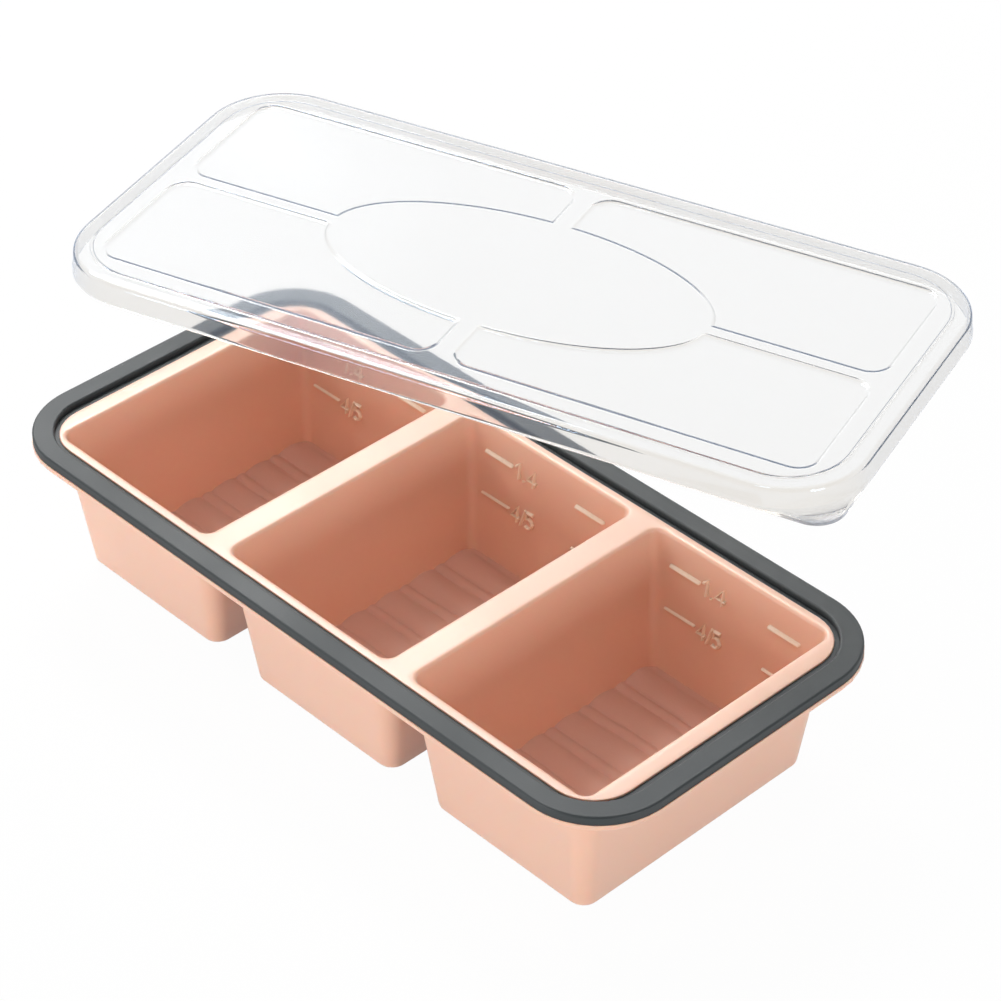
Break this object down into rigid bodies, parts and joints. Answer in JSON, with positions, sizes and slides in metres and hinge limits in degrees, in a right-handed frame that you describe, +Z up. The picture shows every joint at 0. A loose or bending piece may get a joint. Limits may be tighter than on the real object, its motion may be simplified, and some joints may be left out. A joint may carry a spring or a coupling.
{
  "type": "baby food freezer tray",
  "caption": "Long silicone freezer tray with deep ribbed cups in a rigid frame, and a clear lid with sunk panes held raised and turned above it.",
  "frame": {"origin": "centre of the underside of the middle cup, on the plane the tray stands on", "axes": "+Z up out of the cups; +X along the row of cups; +Y towards the cup walls that carry the fill marks"},
  "size_m": [0.346, 0.2541, 0.1129],
  "materials": {
    "silicone": "satin peach silicone, slightly translucent",
    "frame_plastic": "matte slate grey",
    "clear_plastic": "clear gloss"
  },
  "bodies": {
    "tray": {"silicone_tray": "silicone", "rigid_frame": "frame_plastic"},
    "lid": {"clear_lid": "clear_plastic"}
  },
  "joints": [
    {"name": "lid_lift", "type": "slide", "parent": "tray", "child": "lid", "axis": [0, 0, 1], "range_m": [-0.0455, 0.04]}
  ]
}
